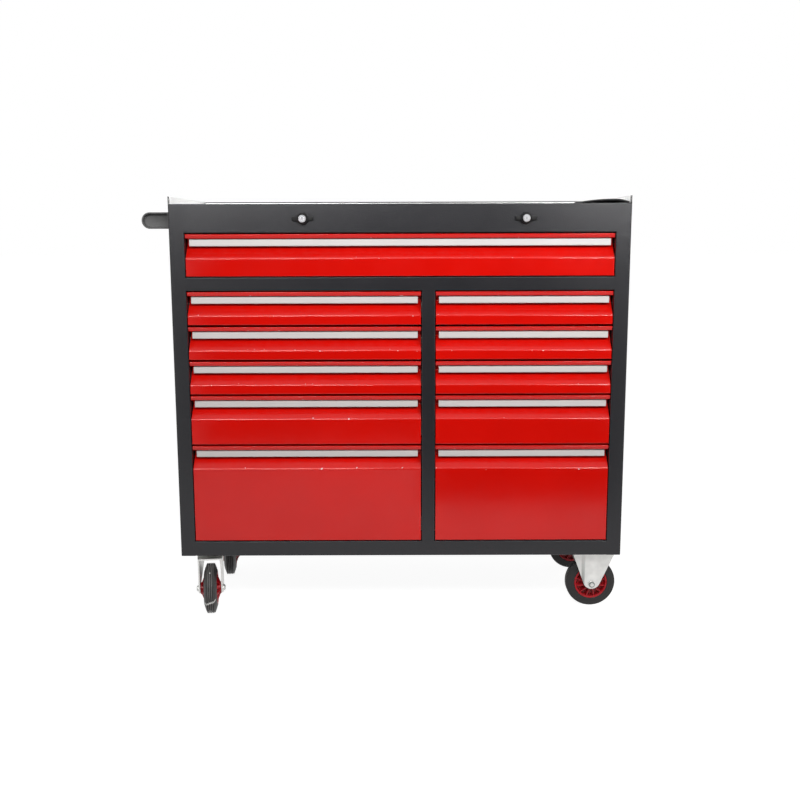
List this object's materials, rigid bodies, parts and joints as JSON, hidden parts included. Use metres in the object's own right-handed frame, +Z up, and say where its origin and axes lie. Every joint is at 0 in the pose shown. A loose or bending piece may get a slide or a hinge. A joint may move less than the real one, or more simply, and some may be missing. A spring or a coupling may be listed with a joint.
{
  "type": "rolling tool cabinet",
  "caption": "Wide steel roller cabinet with a full-width top drawer over two banks of drawers, a side push handle, winged locks, a rimmed worktop and casters.",
  "frame": {"origin": "on the floor, under the centre of the whole cabinet's bounding box", "axes": "+X along the width, away from the push handle; +Y from the drawer fronts to the back; +Z up"},
  "size_m": [1.1395, 0.4828, 1.013],
  "materials": {
    "body_grey": "textured powder coat",
    "drawer_red": "gloss powder coat",
    "pull_aluminium": "satin anodised",
    "slide_zinc": "zinc plated",
    "worktop_stainless": "brushed stainless",
    "mat_rubber": "matt ribbed",
    "handle_black": "satin powder coat",
    "caster_zinc": "zinc plated",
    "tyre_rubber": "matt",
    "rim_red": "moulded",
    "lock_black": "moulded",
    "lock_chrome": "plated"
  },
  "bodies": {
    "cabinet": {"left_side_panel": "body_grey", "right_side_panel": "body_grey", "back_panel": "body_grey", "base_pan": "body_grey", "top_rail": "body_grey", "mid_rail": "body_grey", "centre_partition": "body_grey", "worktop": "worktop_stainless", "worktop_mat": "mat_rubber", "slide_channels": "slide_zinc", "push_handle": "handle_black", "caster_plates": "caster_zinc", "fixed_forks": "caster_zinc"},
    "top_drawer": {"top_drawer_box": "drawer_red", "top_drawer_pull": "pull_aluminium", "top_drawer_runners": "slide_zinc"},
    "left_drawer_1": {"left_drawer_1_box": "drawer_red", "left_drawer_1_pull": "pull_aluminium", "left_drawer_1_runners": "slide_zinc"},
    "left_drawer_2": {"left_drawer_2_box": "drawer_red", "left_drawer_2_pull": "pull_aluminium", "left_drawer_2_runners": "slide_zinc"},
    "left_drawer_3": {"left_drawer_3_box": "drawer_red", "left_drawer_3_pull": "pull_aluminium", "left_drawer_3_runners": "slide_zinc"},
    "left_drawer_4": {"left_drawer_4_box": "drawer_red", "left_drawer_4_pull": "pull_aluminium", "left_drawer_4_runners": "slide_zinc"},
    "left_drawer_5": {"left_drawer_5_box": "drawer_red", "left_drawer_5_pull": "pull_aluminium", "left_drawer_5_runners": "slide_zinc"},
    "right_drawer_1": {"right_drawer_1_box": "drawer_red", "right_drawer_1_pull": "pull_aluminium", "right_drawer_1_runners": "slide_zinc"},
    "right_drawer_2": {"right_drawer_2_box": "drawer_red", "right_drawer_2_pull": "pull_aluminium", "right_drawer_2_runners": "slide_zinc"},
    "right_drawer_3": {"right_drawer_3_box": "drawer_red", "right_drawer_3_pull": "pull_aluminium", "right_drawer_3_runners": "slide_zinc"},
    "right_drawer_4": {"right_drawer_4_box": "drawer_red", "right_drawer_4_pull": "pull_aluminium", "right_drawer_4_runners": "slide_zinc"},
    "right_drawer_5": {"right_drawer_5_box": "drawer_red", "right_drawer_5_pull": "pull_aluminium", "right_drawer_5_runners": "slide_zinc"},
    "front_swivel_wheel": {"front_swivel_tyre": "tyre_rubber", "front_swivel_rim": "rim_red"},
    "front_swivel": {"front_swivel_fork": "caster_zinc"},
    "rear_swivel_wheel": {"rear_swivel_tyre": "tyre_rubber", "rear_swivel_rim": "rim_red"},
    "rear_swivel": {"rear_swivel_fork": "caster_zinc"},
    "front_fixed_wheel": {"front_fixed_tyre": "tyre_rubber", "front_fixed_rim": "rim_red"},
    "rear_fixed_wheel": {"rear_fixed_tyre": "tyre_rubber", "rear_fixed_rim": "rim_red"},
    "left_lock": {"left_lock_knob": "lock_black", "left_lock_barrel": "lock_chrome"},
    "right_lock": {"right_lock_knob": "lock_black", "right_lock_barrel": "lock_chrome"}
  },
  "joints": [
    {"name": "top_drawer_slide", "type": "slide", "parent": "cabinet", "child": "top_drawer", "axis": [0, -1, 0], "range_m": [0, 0.3]},
    {"name": "left_drawer_1_slide", "type": "slide", "parent": "cabinet", "child": "left_drawer_1", "axis": [0, -1, 0], "range_m": [0, 0.3]},
    {"name": "left_drawer_2_slide", "type": "slide", "parent": "cabinet", "child": "left_drawer_2", "axis": [0, -1, 0], "range_m": [0, 0.3]},
    {"name": "left_drawer_3_slide", "type": "slide", "parent": "cabinet", "child": "left_drawer_3", "axis": [0, -1, 0], "range_m": [0, 0.3]},
    {"name": "left_drawer_4_slide", "type": "slide", "parent": "cabinet", "child": "left_drawer_4", "axis": [0, -1, 0], "range_m": [0, 0.3]},
    {"name": "left_drawer_5_slide", "type": "slide", "parent": "cabinet", "child": "left_drawer_5", "axis": [0, -1, 0], "range_m": [0, 0.3]},
    {"name": "right_drawer_1_slide", "type": "slide", "parent": "cabinet", "child": "right_drawer_1", "axis": [0, -1, 0], "range_m": [0, 0.3]},
    {"name": "right_drawer_2_slide", "type": "slide", "parent": "cabinet", "child": "right_drawer_2", "axis": [0, -1, 0], "range_m": [0, 0.3]},
    {"name": "right_drawer_3_slide", "type": "slide", "parent": "cabinet", "child": "right_drawer_3", "axis": [0, -1, 0], "range_m": [0, 0.3]},
    {"name": "right_drawer_4_slide", "type": "slide", "parent": "cabinet", "child": "right_drawer_4", "axis": [0, -1, 0], "range_m": [0, 0.3]},
    {"name": "right_drawer_5_slide", "type": "slide", "parent": "cabinet", "child": "right_drawer_5", "axis": [0, -1, 0], "range_m": [0, 0.3]},
    {"name": "front_swivel_turn", "type": "hinge", "parent": "cabinet", "child": "front_swivel", "pos_m": [-0.4425, -0.13193, 0.14], "axis": [0, 0, 1], "continuous": true},
    {"name": "front_swivel_wheel_roll", "type": "hinge", "parent": "front_swivel", "child": "front_swivel_wheel", "pos_m": [-0.43665, -0.17957, 0.0615], "axis": [0.9925, 0.1219, 0], "continuous": true},
    {"name": "rear_swivel_turn", "type": "hinge", "parent": "cabinet", "child": "rear_swivel", "pos_m": [-0.4425, 0.15607, 0.14], "axis": [0, 0, 1], "continuous": true},
    {"name": "rear_swivel_wheel_roll", "type": "hinge", "parent": "rear_swivel", "child": "rear_swivel_wheel", "pos_m": [-0.43665, 0.10843, 0.0615], "axis": [0.9925, 0.1219, 0], "continuous": true},
    {"name": "front_fixed_wheel_roll", "type": "hinge", "parent": "cabinet", "child": "front_fixed_wheel", "pos_m": [0.5105, -0.13193, 0.0615], "axis": [0, 1, 0], "continuous": true},
    {"name": "rear_fixed_wheel_roll", "type": "hinge", "parent": "cabinet", "child": "rear_fixed_wheel", "pos_m": [0.5105, 0.15607, 0.0615], "axis": [0, 1, 0], "continuous": true},
    {"name": "left_lock_turn", "type": "hinge", "parent": "cabinet", "child": "left_lock", "pos_m": [-0.19, -0.21693, 0.962], "axis": [0, 1, 0], "range_deg": [0, 90]},
    {"name": "right_lock_turn", "type": "hinge", "parent": "cabinet", "child": "right_lock", "pos_m": [0.324, -0.21693, 0.962], "axis": [0, 1, 0], "range_deg": [0, 90]}
  ]
}
